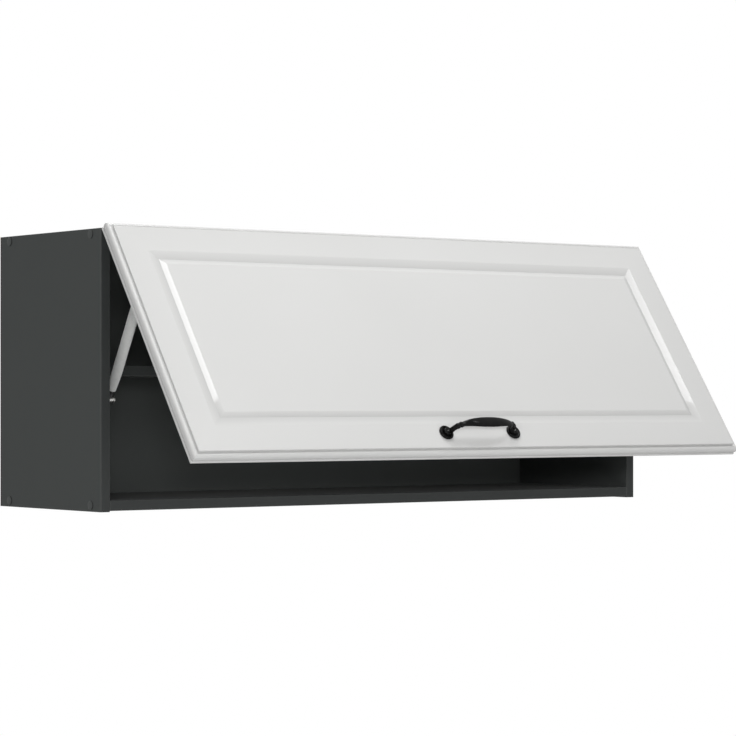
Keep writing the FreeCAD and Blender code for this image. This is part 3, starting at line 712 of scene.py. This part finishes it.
# Bumpers: two clear soft dots stuck to the door's inner face where it meets the sides.
# They are domed, 9 mm across.
dot_r = 0.0045
dot_high = 0.0005
dot_x = door_half - 0.0065
dot_profile = [(dot_r * share, dot_high * (1.0 - 0.7 * share ** 4)) for share in np.linspace(0.0, 1.0, 9)]
dot_profile += [(dot_r, 0.0), (0.0, 0.0)]
dots = [open_door(turned(dot_profile, (way * dot_x, door_back, handle_level), (0, 1, 0))) for way in (-1, 1)]
material, tree, shader, place = finish("soft_clear", Roughness=0.25, Transmission_Weight=0.5, IOR=1.45)
haze = node(tree, "TexNoise", Vector=place, Scale=800.0, Detail=2.0).outputs["Fac"]
feed(tree, shader.inputs["Base Color"], blend(tree, haze, (0.68, 0.68, 0.65, 1), (0.78, 0.78, 0.76, 1)))
mount(surfaces("bumper_dots", dots), material, "door", "soft_clear", "door_bumpers")


# Studio: a pale floor at the height that such a cabinet hangs over, soft boxes in front, beside, above
# and below, pale air, and a level camera at the photograph's angle.
floor_level = -1.75
floor_half = 3.5
air_light = 0.18
span = np.linspace(-floor_half, floor_half, 8)
floor_x, floor_y = np.meshgrid(span, span, indexing="ij")
floor = surfaces("floor", [np.stack([floor_x, floor_y, np.full_like(floor_x, floor_level)], -1)])
material, tree, shader, place = finish("floor_paint", Roughness=0.8)
mottle = node(tree, "TexNoise", Vector=place, Scale=2.0).outputs["Fac"]
feed(tree, shader.inputs["Base Color"], blend(tree, mottle, (0.82, 0.82, 0.82, 1), (0.84, 0.84, 0.84, 1)))
floor.data.materials.append(material)

scene = bpy.context.scene
scene.view_settings.view_transform = "Standard"
world = bpy.data.worlds.new("studio_air")
scene.world = world
world.use_nodes = True
tree = world.node_tree
air = tree.nodes["Background"]
ray = node(tree, "LightPath").outputs
mirrored = calc(tree, "MAXIMUM", ray["Is Glossy Ray"], ray["Is Transmission Ray"])
seen = calc(tree, "MAXIMUM", ray["Is Camera Ray"], mirrored)
feed(tree, air.inputs["Color"], (1.0, 1.0, 1.0, 1))
feed(tree, air.inputs["Strength"], ramp(tree, seen, 0.0, 1.0, air_light, 1.0))


def softbox(name, place, aim, wide, high, watts):
    """Area lamp at a place, turned to face a point, that the camera doesn't see."""
    lamp = bpy.data.lights.new(name, "AREA")
    lamp.shape = "RECTANGLE"
    lamp.size = wide
    lamp.size_y = high
    lamp.energy = watts
    box = bpy.data.objects.new(name, lamp)
    scene.collection.objects.link(box)
    way = Vector(aim) - Vector(place)
    box.location = place
    box.rotation_euler = way.to_track_quat("-Z", "Y").to_euler()
    box.visible_camera = False


cabinet_middle = (0.0, -0.2, -0.1)
softbox("front_box", (0.0, -4.0, -0.1), cabinet_middle, 2.0, 2.0, 30.0)
softbox("key_box", (-2.45, -3.65, 0.14), cabinet_middle, 0.4, 0.4, 19.5)
softbox("side_strip", (-3.05, -3.2, 0.15), cabinet_middle, 3.0, 0.25, 54.0)
softbox("left_box", (-3.6, -0.3, 0.0), cabinet_middle, 2.0, 2.0, 7.2)
softbox("low_box", (0.0, -1.6, -1.7), cabinet_middle, 1.4, 1.4, 7.1)
softbox("top_box", (0.0, -0.2, 2.2), (0.0, -0.4, -0.1), 1.6, 1.0, 46.0)
softbox("high_box", (-0.2, -1.75, 3.0), (-0.3, -0.42, -0.05), 1.0, 1.3, 25.0)
softbox("far_box", (3.17, -3.05, 5.11), (0.44, -0.42, -0.05), 0.3, 1.0, 9.0)

camera = bpy.data.objects.new("camera", bpy.data.cameras.new("camera"))
scene.collection.objects.link(camera)
camera.location = (-2.4923, -3.5909, -0.1890)
camera.rotation_euler = (math.radians(90.0), 0.0, math.radians(-36.645))
camera.data.lens = 134.35
camera.data.sensor_width = 36.0
camera.data.shift_y = 0.0417
scene.camera = camera
